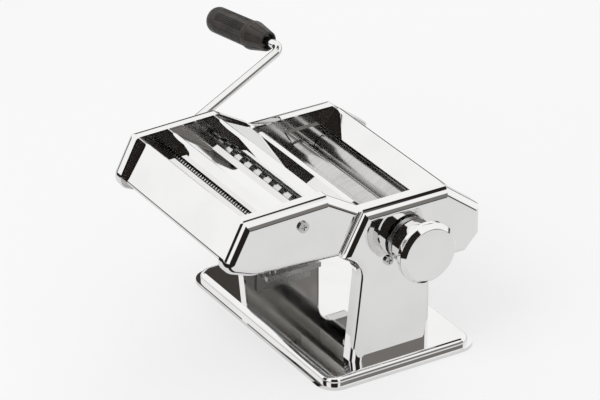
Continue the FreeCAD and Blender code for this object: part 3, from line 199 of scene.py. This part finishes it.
CRYSTAL_SCALE = 420.0
CRYSTAL_SHARE = 0.4
SCUFF_SCALE = 90.0
SCUFF_DETAIL = 6.0
SCUFF_RANGE = (0.35, 0.7)
SCUFF_SHARE = 0.6
MOTTLE_DEPTH = 0.000006
plated_mottle, mottle_place = new_finish("plated_mottle")
crystals = plated_mottle.nodes.new("ShaderNodeTexVoronoi")
crystals.inputs["Scale"].default_value = CRYSTAL_SCALE
plated_mottle.links.new(mottle_place, crystals.inputs["Vector"])
scuff = spread(plated_mottle, noise(plated_mottle, mottle_place, SCUFF_SCALE, SCUFF_DETAIL), *SCUFF_RANGE)
mottle = work_out(plated_mottle, "ADD",
                  work_out(plated_mottle, "MULTIPLY", crystals.outputs["Distance"], CRYSTAL_SHARE),
                  work_out(plated_mottle, "MULTIPLY", scuff, SCUFF_SHARE))
close_finish(plated_mottle, mottle, mottle, mottle, MOTTLE_DEPTH)
zinc_plate = metal("zinc_plate", plated_mottle, bright=(0.66, 0.665, 0.67), dull=(0.58, 0.585, 0.59),
                   smooth=0.22, rough=0.34)
plated_screws = metal("plated_screws", plated_mottle, bright=(0.70, 0.70, 0.70), dull=(0.52, 0.52, 0.53),
                      smooth=0.14, rough=0.30)
dress(zinc_plate, "foot_brackets")
dress(plated_screws, "base_screws")


# Inner frame: two flat bearing plates, bright plated, stand on the feet. They are tied together by
# zinc-plated rods with hexagon nuts, and short posts outside take the shells' screws.

bright_plate = metal("bright_plate", mirror_polish, bright=(0.78, 0.77, 0.76), dull=(0.72, 0.71, 0.70),
                     smooth=0.12, rough=0.20)
dress(bright_plate, "knob_side_bearing_plate", "crank_side_bearing_plate")
dress(zinc_plate, "tie_rods", "tie_nuts", "shell_posts")


# Side shells: two pressed trays of chromed sheet with rolled edges, one broad leg and a head each.
# They close the bearing plates from outside, and each is held by one small cross-head screw.

dress(mirror_chrome, "knob_side_shell", "crank_side_shell")
dress(plated_screws, "shell_screws")


# Rollers: two solid steel rollers, ground round and plated, so fine lines run round them. The rear
# one is driven by the crank, and the front one sits in sliding blocks, with a gear on each.

LINE_SCALE = 2600.0
LINE_DETAIL = 2.0
LINE_STRETCH = (1.0, 0.02, 0.02)
LINE_RANGE = (0.3, 0.7)
LINE_SHARE = 0.6
LINE_DEPTH = 0.000002
PATCH_DETAIL = 3.0
PATCH_RANGE = (0.35, 0.7)
PATCH_SHARE = 0.4
turned_lines, lines_place = new_finish("turned_lines")
line_noise = noise(turned_lines, lines_place, LINE_SCALE, LINE_DETAIL, LINE_STRETCH)
lines = spread(turned_lines, line_noise, *LINE_RANGE)
patches = spread(turned_lines, noise(turned_lines, lines_place, SMEAR_SCALE, PATCH_DETAIL), *PATCH_RANGE)
worn_lines = work_out(turned_lines, "ADD", work_out(turned_lines, "MULTIPLY", lines, LINE_SHARE),
                      work_out(turned_lines, "MULTIPLY", patches, PATCH_SHARE))
close_finish(turned_lines, worn_lines, worn_lines, lines, LINE_DEPTH)
ground_roller = metal("ground_roller", turned_lines, bright=(0.68, 0.67, 0.66), dull=(0.50, 0.49, 0.48),
                      smooth=0.14, rough=0.28)
oiled_steel = metal("oiled_steel", plated_mottle, bright=(0.36, 0.35, 0.34), dull=(0.22, 0.21, 0.20),
                    smooth=0.26, rough=0.46)
bush_bronze = metal("bush_bronze", turned_lines, bright=(0.62, 0.43, 0.21), dull=(0.46, 0.30, 0.14),
                    smooth=0.20, rough=0.38)
dress(ground_roller, "rear_roller", "front_roller")
dress(oiled_steel, "rear_roller_gear", "front_roller_gear")
dress(bush_bronze, "roller_bushes")
dress(zinc_plate, "knob_side_bearing_block", "crank_side_bearing_block", "carriage_yoke", "block_guides")


# Regulator: a cam on a short shaft that sets the gap between the rollers. It runs in a bronze bush,
# and an index plate with seven holes stops it at each setting.

dress(oiled_steel, "regulator_cam")
dress(zinc_plate, "regulator_shaft", "index_plate", "index_pin")
dress(bush_bronze, "regulator_bush")
dress(plated_screws, "knob_retaining_screw")


# Knob spring: four turns of drawn steel wire round the shaft, between the knob's web and the
# retaining screw's washer. The real one closes up towards the washer as the knob is drawn out; this coil
# keeps one length.

SPRING_WIRE = 0.0005
SPRING_TURNS = 4
POINTS_PER_TURN = 24
spring_wire = metal("spring_wire", turned_lines, bright=(0.50, 0.50, 0.51), dull=(0.34, 0.34, 0.35),
                    smooth=0.20, rough=0.36)
spring_low, spring_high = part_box("knob_spring")
spring_middle = (spring_low + spring_high) / 2
spring_radius = (spring_high.z - spring_low.z) / 2 - SPRING_WIRE
spring_start = spring_low.x + SPRING_WIRE
spring_run = spring_high.x - spring_low.x - 2 * SPRING_WIRE
coil_steps = SPRING_TURNS * POINTS_PER_TURN
coil_line = bpy.data.curves.new("knob_coil", "CURVE")
coil_line.dimensions = "3D"
coil_line.bevel_depth = SPRING_WIRE
coil_line.use_fill_caps = True
wire_line = coil_line.splines.new("POLY")
wire_line.points.add(coil_steps)
for step, point in enumerate(wire_line.points):
    turn = 2 * math.pi * step / POINTS_PER_TURN
    point.co = (spring_start + step / coil_steps * spring_run,
                spring_middle.y + spring_radius * math.cos(turn),
                spring_middle.z + spring_radius * math.sin(turn), 1.0)
coil = bpy.data.objects.new("knob_coil", coil_line)
bpy.context.scene.collection.objects.link(coil)
bpy.context.view_layer.objects.active = coil
coil.select_set(True)
bpy.ops.object.convert(target="MESH")
coil = bpy.context.object
coil.data.materials.append(spring_wire)
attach(coil, "regulator")
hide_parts("knob_spring")
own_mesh(coil)


# Knob: a chromed drum with a broad domed cap pressed on its end. It is pulled out against its
# spring to turn the regulator.

knob_chrome = metal("knob_chrome", mirror_polish, bright=CHROME_BRIGHT, dull=(0.85, 0.845, 0.84),
                    smooth=0.02, rough=0.06)
dress(knob_chrome, "knob_drum", "knob_cap")


# Hopper: two folded covers of chromed sheet lead the dough down to the rollers, between two end
# cheeks. Thin scrapers of cream plastic under the rollers peel the sheet off.

SCRAPER_CREAM = (0.80, 0.79, 0.75)
SCRAPER_WORN = (0.68, 0.66, 0.61)
SCRAPER_ROUGHNESS = (0.38, 0.58)
SCRAPER_WEAR_DETAIL = 4.0
SCRAPER_GRAIN_SCALE = 1500.0
SCRAPER_GRAIN_DETAIL = 2.0
SCRAPER_GRAIN_DEPTH = 0.00001
scraper_plastic, scraper_tree, scraper_shader = new_material("scraper_plastic")
scraper_place = scraper_tree.nodes.new("ShaderNodeTexCoord").outputs["Object"]
scraper_grain = noise(scraper_tree, scraper_place, SCRAPER_GRAIN_SCALE, SCRAPER_GRAIN_DETAIL)
scraper_noise = noise(scraper_tree, scraper_place, SCUFF_SCALE, SCRAPER_WEAR_DETAIL)
scraper_wear = spread(scraper_tree, scraper_noise, *SCUFF_RANGE)
scraper_tree.links.new(tinted(scraper_tree, scraper_wear, SCRAPER_CREAM, SCRAPER_WORN),
                       scraper_shader.inputs["Base Color"])
scraper_tree.links.new(spread(scraper_tree, scraper_wear, 0.0, 1.0, *SCRAPER_ROUGHNESS),
                       scraper_shader.inputs["Roughness"])
scraper_tree.links.new(raised(scraper_tree, scraper_grain, SCRAPER_GRAIN_DEPTH),
                       scraper_shader.inputs["Normal"])
dress(mirror_chrome, "rear_cover", "front_cover", "hopper_cheeks")
dress(scraper_plastic, "roller_scrapers")


# Cutter unit: two chromed end plates with rolled edges carry three folded covers, which leave one
# slot over the thin cutters and one over the wide cutters. Folded hooks hang it on the head.

sheet_steel = metal("sheet_steel", plated_mottle, bright=(0.70, 0.70, 0.70), dull=(0.62, 0.62, 0.62),
                    smooth=0.18, rough=0.28)
dress(mirror_chrome, "cutter_knob_side_end_plate", "cutter_crank_side_end_plate", "cutter_front_cover",
      "cutter_middle_cover", "cutter_rear_cover")
dress(bright_plate, "cutter_bearing_plates", "cutter_hooks", "cutter_keepers")
dress(zinc_plate, "cutter_tie_rods", "cutter_tie_nuts", "cutter_posts")
dress(plated_screws, "cutter_end_screws")
dress(bush_bronze, "cutter_bushes")
dress(sheet_steel, "thin_combs", "wide_combs")


# Cutters: two pairs of turned steel rolls whose discs run in each other's grooves, a fine pair for
# thin strands and a coarse pair for wide ones. Each pair is geared together.

turned_cutter = metal("turned_cutter", turned_lines, bright=(0.74, 0.74, 0.74), dull=(0.64, 0.64, 0.64),
                      smooth=0.16, rough=0.26)
for pair in ("thin", "wide"):
    for place in ("front", "rear"):
        dress(turned_cutter, pair + "_" + place + "_cutter")
        dress(oiled_steel, pair + "_" + place + "_cutter_gear")


# Crank: a chromed steel rod, bent twice, with a cross pin near the end that goes into the socket.
# Its bright plating is a little softer than the pressed sheet's. A steel ring holds the grip on it.

crank_chrome = metal("crank_chrome", mirror_polish, bright=(0.88, 0.875, 0.87), dull=(0.83, 0.825, 0.82),
                     smooth=0.06, rough=0.12)
dress(crank_chrome, "crank_rod")
dress(plated_screws, "crank_drive_pin")
dress(oiled_steel, "grip_ring")


# Grip: dark brown plastic, moulded in one piece, that turns on the crank's end. Hands have rubbed it
# a little brighter in patches; painted shade darkens the flutes of its body and the step behind its collar,
# and leaves its high parts lighter.

GRIP_DARK = (0.005, 0.004, 0.0035)
GRIP_RUBBED = (0.052, 0.043, 0.037)
GRIP_ROUGHNESS = (0.55, 0.38)
GRIP_GRAIN_SCALE = 1800.0
GRIP_GRAIN_DETAIL = 3.0
GRIP_GRAIN_DEPTH = 0.00002
RUB_DETAIL = 5.0
RUB_SHARE = 0.5
# Lift of the colour outside the hollows, so the flutes and the collar step keep painted shade.
UNSHADED_LIFT = 0.5
# Radii from the grip's axis, then distances along it from the rod's bend.
FLUTE_BOTTOM = 0.01022
BODY_SURFACE = 0.01048
FLUTED_LENGTH = (0.0385, 0.0715)
FLUTE_END = 0.001
COLLAR_STEP = (0.0350, 0.0362)
STEP_FADE = 0.0003
grip_plastic, grip_tree, grip_shader = new_material("grip_plastic")
grip_joint = next(joint for joint in frame["record"]["behaviour"]["joints"] if joint["name"] == "grip_turn")
grip_place = grip_tree.nodes.new("ShaderNodeTexCoord").outputs["Object"]


def measured(tree, operation, first, second=(0.0, 0.0, 0.0)):
    """One vector sum of a socket, or of a socket and a fixed vector."""
    node = tree.nodes.new("ShaderNodeVectorMath")
    node.operation = operation
    tree.links.new(first, node.inputs[0])
    node.inputs[1].default_value = second
    return node.outputs["Value" if operation in ("DOT_PRODUCT", "LENGTH") else "Vector"]


from_bend = measured(grip_tree, "SUBTRACT", grip_place, grip_joint["pos_m"])
along_grip = measured(grip_tree, "DOT_PRODUCT", from_bend, grip_joint["axis"])
off_axis = measured(grip_tree, "LENGTH",
                    measured(grip_tree, "CROSS_PRODUCT", from_bend, grip_joint["axis"]))
fluted = work_out(grip_tree, "MULTIPLY",
                  spread(grip_tree, along_grip, FLUTED_LENGTH[0], FLUTED_LENGTH[0] + FLUTE_END),
                  spread(grip_tree, along_grip, FLUTED_LENGTH[1] - FLUTE_END, FLUTED_LENGTH[1], 1.0, 0.0))
# Painted shade: the flutes and the step behind the collar are darkened where shade falls.
in_flute = work_out(grip_tree, "MULTIPLY", fluted,
                    spread(grip_tree, off_axis, FLUTE_BOTTOM, BODY_SURFACE, 1.0, 0.0))
in_step = work_out(grip_tree, "MULTIPLY",
                   spread(grip_tree, along_grip, COLLAR_STEP[0] - STEP_FADE, COLLAR_STEP[0]),
                   spread(grip_tree, along_grip, COLLAR_STEP[1], COLLAR_STEP[1] + STEP_FADE, 1.0, 0.0))
in_hollow = work_out(grip_tree, "MAXIMUM", in_flute, in_step)
grip_rub = spread(grip_tree, noise(grip_tree, grip_place, SCUFF_SCALE, RUB_DETAIL), *SCUFF_RANGE)
# Colour from random rubbing (real wear) and painted shade in the hollows against lighter open parts.
grip_wear_and_painted_shade = work_out(grip_tree, "SUBTRACT", work_out(grip_tree, "MULTIPLY", grip_rub, RUB_SHARE),
                     work_out(grip_tree, "SUBTRACT", in_hollow, UNSHADED_LIFT))
grip_grain = noise(grip_tree, grip_place, GRIP_GRAIN_SCALE, GRIP_GRAIN_DETAIL)
grip_tree.links.new(tinted(grip_tree, grip_wear_and_painted_shade, GRIP_DARK, GRIP_RUBBED), grip_shader.inputs["Base Color"])
grip_tree.links.new(spread(grip_tree, grip_wear_and_painted_shade, 0.0, 1.0, *GRIP_ROUGHNESS),
                    grip_shader.inputs["Roughness"])
grip_tree.links.new(raised(grip_tree, grip_grain, GRIP_GRAIN_DEPTH), grip_shader.inputs["Normal"])
dress(grip_plastic, "crank_grip")


# Table: a plain white floor. The camera sees it lit evenly, less the object's own soft shadow. The
# chrome mirrors it a little greyer, and as a table: beyond its edge the mirrored room is dark. A
# dark wedge on the floor that only mirror rays see paints a dark reflected line along the legs' edges.

FLOOR_HALF = 6.0
FLOOR_GLOW = 0.62
PAPER_WHITE = 0.92
TABLE_GREY = 0.75
TABLE_EDGE = (1.2, 1.7)
NEAR_EDGE = (0.28, 0.32)
NEAR_WAY = (0.26, -0.966, 0.0)
# Painted reflection: a dark wedge on the floor, seen only by mirror rays, starts here and runs this way.
WEDGE_START = (0.072, -0.040, 0.0)
WEDGE_WAY = (0.407, -0.914, 0.0)
WEDGE_ACROSS = (-WEDGE_WAY[1], WEDGE_WAY[0], 0.0)
WEDGE_SPREAD = 0.20
WEDGE_EDGE = 0.003
WHITE = (1.0, 1.0, 1.0)
DARK_ROOM = (0.018, 0.015, 0.013)


def background_rays(tree):
    """1 for camera rays, and 1 for the mirror and glass rays that show the same background."""
    rays = tree.nodes.new("ShaderNodeLightPath").outputs
    mirror_rays = work_out(tree, "MAXIMUM", rays["Is Glossy Ray"], rays["Is Transmission Ray"])
    return rays["Is Camera Ray"], mirror_rays


bpy.ops.mesh.primitive_plane_add(size=2 * FLOOR_HALF, location=(0, 0, 0))
floor = bpy.context.object
floor.name = "floor"
floor_paper, floor_tree, floor_shader = new_material("floor_paper")
floor_tree.nodes.remove(floor_shader)
floor_place = floor_tree.nodes.new("ShaderNodeTexCoord").outputs["Object"]
reach = measured(floor_tree, "LENGTH", floor_place)
ahead = measured(floor_tree, "DOT_PRODUCT", floor_place, NEAR_WAY)
past_edge = work_out(floor_tree, "MAXIMUM", spread(floor_tree, reach, *TABLE_EDGE),
                     spread(floor_tree, ahead, *NEAR_EDGE))
# Painted reflection: this wedge draws a dark line along the legs' rolled edges in the chrome.
from_leg = measured(floor_tree, "SUBTRACT", floor_place, WEDGE_START)
wedge_run = measured(floor_tree, "DOT_PRODUCT", from_leg, WEDGE_WAY)
wedge_half = work_out(floor_tree, "MULTIPLY", wedge_run, WEDGE_SPREAD)
wedge_side = work_out(floor_tree, "ABSOLUTE", measured(floor_tree, "DOT_PRODUCT", from_leg, WEDGE_ACROSS))
painted_dark_wedge = spread(floor_tree, work_out(floor_tree, "SUBTRACT", wedge_half, wedge_side), 0.0, WEDGE_EDGE)
# Dark for mirror rays past the table's edge, and in the wedge of painted reflection.
off_table_or_painted_wedge = work_out(floor_tree, "MAXIMUM", past_edge, painted_dark_wedge)
floor_camera, floor_mirror = background_rays(floor_tree)
mirrored = tinted(floor_tree, off_table_or_painted_wedge, (TABLE_GREY, TABLE_GREY, TABLE_GREY), DARK_ROOM)
paper = floor_tree.nodes.new("ShaderNodeBsdfDiffuse")
paper.inputs["Color"].default_value = (PAPER_WHITE, PAPER_WHITE, PAPER_WHITE, 1.0)
glow = floor_tree.nodes.new("ShaderNodeEmission")
glow.inputs["Strength"].default_value = 1.0
floor_tree.links.new(tinted(floor_tree, floor_camera, mirrored, WHITE), glow.inputs["Color"])
shown = work_out(floor_tree, "MULTIPLY", work_out(floor_tree, "MAXIMUM", floor_camera, floor_mirror),
                 FLOOR_GLOW)
beyond = work_out(floor_tree, "MULTIPLY", off_table_or_painted_wedge, floor_mirror)
floor_mix = floor_tree.nodes.new("ShaderNodeMixShader")
floor_tree.links.new(work_out(floor_tree, "MAXIMUM", shown, beyond), floor_mix.inputs["Fac"])
floor_tree.links.new(paper.outputs["BSDF"], floor_mix.inputs[1])
floor_tree.links.new(glow.outputs["Emission"], floor_mix.inputs[2])
floor_tree.links.new(floor_mix.outputs["Shader"], floor_tree.nodes["Material Output"].inputs["Surface"])
floor.data.materials.append(floor_paper)


# Dark card: a brown panel that hangs behind the machine, out of the picture. Only mirror rays see
# it, so it shows in the front left of the tray and along the tray's left edge.

CARD_AWAY = 0.6
CARD_WAY = Vector((-0.855, 0.519, 0.0))
CARD_ACROSS = Vector((CARD_WAY.y, -CARD_WAY.x, 0.0))
CARD_SPAN = (-0.40, -0.018)
CARD_HEIGHT = (0.285, 0.37)
CARD_BROWN = (0.05, 0.044, 0.038)
CARD_ROUGHNESS = 0.9
card_middle = CARD_AWAY * CARD_WAY + sum(CARD_SPAN) / 2 * CARD_ACROSS
card_middle.z = sum(CARD_HEIGHT) / 2
bpy.ops.mesh.primitive_plane_add(size=1.0, location=card_middle)
card = bpy.context.object
card.name = "dark_card"
card.scale = (CARD_SPAN[1] - CARD_SPAN[0], CARD_HEIGHT[1] - CARD_HEIGHT[0], 1.0)
card.rotation_euler = CARD_WAY.to_track_quat("Z", "Y").to_euler()
card.visible_camera = False
card.visible_diffuse = False
card.visible_shadow = False
card_paint, _, card_shader = new_material("card_paint")
card_shader.inputs["Base Color"].default_value = (*CARD_BROWN, 1.0)
card_shader.inputs["Roughness"].default_value = CARD_ROUGHNESS
card.data.materials.append(card_paint)


# Studio: white all round, with the dark parts of the room that the chrome mirrors: the side where
# the camera stands, a gap beside the soft box to its left, a strip high up at the back, a low corner
# at the far left and the strip between table and walls. A grey wall stands at the right.

DIFFUSE_LIGHT = 0.6
GREY_WALL = (0.20, 0.19, 0.18)
PATCH_EDGE = math.radians(5.0)
# Each patch is a span of azimuths, from +X towards +Y, and a span of elevations, in degrees.
DARK_PATCHES = [
    ((-56.0, -6.0), (-20.0, 54.0)),
    ((-120.0, -88.0), (2.0, 46.0)),
    ((70.0, 160.0), (49.0, 63.0)),
    ((149.0, 172.0), (-20.0, 13.0)),
    ((-190.0, 190.0), (-20.0, 1.0)),
]
GREY_PATCHES = [((10.0, 58.0), (-20.0, 33.0))]
world = bpy.data.worlds.new("studio")
bpy.context.scene.world = world
world.use_nodes = True
room = world.node_tree
room.nodes.clear()
way = room.nodes.new("ShaderNodeSeparateXYZ")
room.links.new(room.nodes.new("ShaderNodeTexCoord").outputs["Generated"], way.inputs["Vector"])
azimuth = work_out(room, "ARCTAN2", way.outputs["Y"], way.outputs["X"])
elevation = work_out(room, "ARCSINE", way.outputs["Z"])
room_camera, room_mirror = background_rays(room)


def between(angle, span):
    """1 where the angle lies in the span of degrees, with soft edges."""
    low, high = (math.radians(end) for end in span)
    above = spread(room, angle, low - PATCH_EDGE / 2, low + PATCH_EDGE / 2)
    below = spread(room, angle, high - PATCH_EDGE / 2, high + PATCH_EDGE / 2, 1.0, 0.0)
    return work_out(room, "MULTIPLY", above, below)


def patched(patches):
    """1 for mirror rays that go to one of the patches."""
    mask = 0.0
    for azimuths, elevations in patches:
        patch = work_out(room, "MULTIPLY", between(azimuth, azimuths), between(elevation, elevations))
        mask = work_out(room, "MAXIMUM", mask, patch)
    return work_out(room, "MULTIPLY", mask, room_mirror)


walls = tinted(room, patched(GREY_PATCHES), WHITE, GREY_WALL)
seen = room.nodes.new("ShaderNodeBackground")
room.links.new(tinted(room, patched(DARK_PATCHES), walls, DARK_ROOM), seen.inputs["Color"])
lit = room.nodes.new("ShaderNodeBackground")
lit.inputs["Color"].default_value = (*WHITE, 1.0)
lit.inputs["Strength"].default_value = DIFFUSE_LIGHT
room_mix = room.nodes.new("ShaderNodeMixShader")
room.links.new(work_out(room, "MAXIMUM", room_camera, room_mirror), room_mix.inputs["Fac"])
room.links.new(lit.outputs["Background"], room_mix.inputs[1])
room.links.new(seen.outputs["Background"], room_mix.inputs[2])
room.links.new(room_mix.outputs["Shader"], room.nodes.new("ShaderNodeOutputWorld").inputs["Surface"])


# Lamps: one large soft box high at the left of the camera and a weaker one behind, both only for the
# matt pieces and the floor's shadow, because the chrome mirrors the room itself.

MACHINE_MIDDLE = Vector((-0.02, -0.016, 0.09))


def soft_box(name, place, width, power):
    """Square lamp that points at the machine and isn't mirrored."""
    light = bpy.data.lights.new(name, "AREA")
    light.shape = "SQUARE"
    light.size = width
    light.energy = power
    lamp = bpy.data.objects.new(name, light)
    bpy.context.scene.collection.objects.link(lamp)
    lamp.location = place
    lamp.rotation_euler = (MACHINE_MIDDLE - Vector(place)).to_track_quat("-Z", "Y").to_euler()
    lamp.visible_glossy = False


soft_box("key_light", place=(0.3, -1.2, 1.5), width=1.0, power=12.0)
soft_box("back_light", place=(-0.9, 1.0, 1.2), width=0.8, power=5.0)


# Camera: a long lens that looks down on the machine from its front, on the knob's side. Its place and
# its angles were found from the straight edges in the photo.

CAMERA_AZIMUTH = math.radians(58.72)
CAMERA_ELEVATION = math.radians(28.03)
CAMERA_DISTANCE = 2.6088
SENSOR_WIDTH_MM = 36.0
FOCAL_LENGTH_MM = 210.0
LOOK_AT = Vector((-0.0197, -0.0161, 0.0909))
camera_way = Vector((math.sin(CAMERA_AZIMUTH) * math.cos(CAMERA_ELEVATION),
                     -math.cos(CAMERA_AZIMUTH) * math.cos(CAMERA_ELEVATION), math.sin(CAMERA_ELEVATION)))
lens = bpy.data.cameras.new("camera")
lens.sensor_width = SENSOR_WIDTH_MM
lens.lens = FOCAL_LENGTH_MM
camera = bpy.data.objects.new("camera", lens)
bpy.context.scene.collection.objects.link(camera)
camera.location = LOOK_AT + CAMERA_DISTANCE * camera_way
camera.rotation_euler = (-camera_way).to_track_quat("-Z", "Y").to_euler()
bpy.context.scene.camera = camera
bpy.context.scene.view_settings.view_transform = "Standard"
